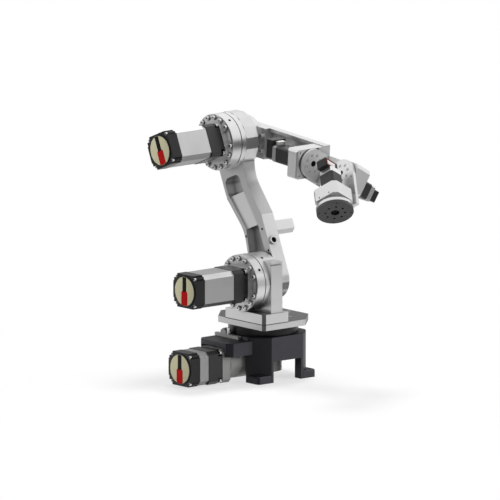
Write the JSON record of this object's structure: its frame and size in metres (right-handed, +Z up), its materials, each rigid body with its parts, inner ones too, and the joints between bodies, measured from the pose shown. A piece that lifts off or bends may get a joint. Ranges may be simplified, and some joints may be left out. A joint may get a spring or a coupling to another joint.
{
  "type": "industrial robot arm",
  "caption": "Upright jointed robot arm with a cast base, a turntable, a curved lower arm, a channel forearm and a bending wrist, driven by open square motors.",
  "frame": {"origin": "on the first axis, at floor level, in the middle of the four hold-down holes", "axes": "+Z up along the first axis, +X the way the arm reaches, the three large motors point to -Y"},
  "size_m": [0.5996, 0.4191, 0.6669],
  "materials": {
    "cast_grey": "fine powder coat",
    "machined": "satin machined",
    "black_metal": "black anodised",
    "black_plastic": "moulded",
    "stator_grey": "satin extruded",
    "gear_grey": "painted grey",
    "bright_steel": "turned bright",
    "dark_plate": "dark satin"
  },
  "bodies": {
    "base": {"base_casting": "cast_grey", "motor_hood": "cast_grey", "stop_bar": "gear_grey", "stop_stud": "bright_steel", "base_gearbox": "gear_grey", "base_motor_front": "black_metal", "base_motor_stator": "stator_grey", "base_motor_cap": "black_plastic"},
    "turntable": {"slew_ring": "black_metal", "turntable_plate": "machined", "bracket_block": "machined", "shoulder_upright": "machined", "shoulder_reducer": "machined", "shoulder_adaptor": "machined", "shoulder_motor_front": "black_metal", "shoulder_motor_stator": "stator_grey", "shoulder_motor_cap": "black_plastic"},
    "lower_arm": {"lower_arm": "machined", "shoulder_hub": "machined", "stop_lug": "machined", "elbow_reducer": "machined", "elbow_adaptor": "machined", "elbow_motor_front": "black_metal", "elbow_motor_stator": "stator_grey", "elbow_motor_cap": "black_plastic"},
    "forearm": {"elbow_hub": "machined", "forearm_channel": "machined", "roll_gear_block": "machined", "roll_motor_stator": "black_metal", "roll_motor_bell": "stator_grey", "roll_motor_cap": "black_plastic"},
    "wrist": {"roll_flange": "machined", "wrist_bracket": "machined", "pitch_reducer": "machined", "pitch_motor_stator": "black_metal", "pitch_motor_bell": "stator_grey", "pitch_motor_cap": "black_plastic"},
    "tool_head": {"tool_bracket": "machined", "tool_gear_block": "machined", "tool_motor_stator": "black_metal", "tool_motor_bell": "stator_grey", "tool_motor_cap": "black_plastic"},
    "tool_flange": {"tool_ring": "bright_steel", "tool_plate": "dark_plate"}
  },
  "joints": [
    {"name": "base_turn", "type": "hinge", "parent": "base", "child": "turntable", "pos_m": [0, 0, 0.13], "axis": [0, 0, 1], "range_deg": [-170, 170]},
    {"name": "shoulder", "type": "hinge", "parent": "turntable", "child": "lower_arm", "pos_m": [0.04, 0, 0.257], "axis": [0, 1, 0], "range_deg": [-30, 108]},
    {"name": "elbow", "type": "hinge", "parent": "lower_arm", "child": "forearm", "pos_m": [-0.1034, 0, 0.59483], "axis": [0, -1, 0], "range_deg": [-36, 110]},
    {"name": "wrist_roll", "type": "hinge", "parent": "forearm", "child": "wrist", "pos_m": [0.19783, 0, 0.57323], "axis": [0.9974, 0, -0.0715], "range_deg": [-135, 195]},
    {"name": "wrist_bend", "type": "hinge", "parent": "wrist", "child": "tool_head", "pos_m": [0.29757, 0, 0.56608], "axis": [0.0357, -0.866, 0.4987], "range_deg": [-51, 149]},
    {"name": "tool_turn", "type": "hinge", "parent": "tool_head", "child": "tool_flange", "pos_m": [0.3864, -0.08638, 0.4839], "axis": [0.6076, -0.3774, -0.6988], "range_deg": [-175, 175]}
  ]
}
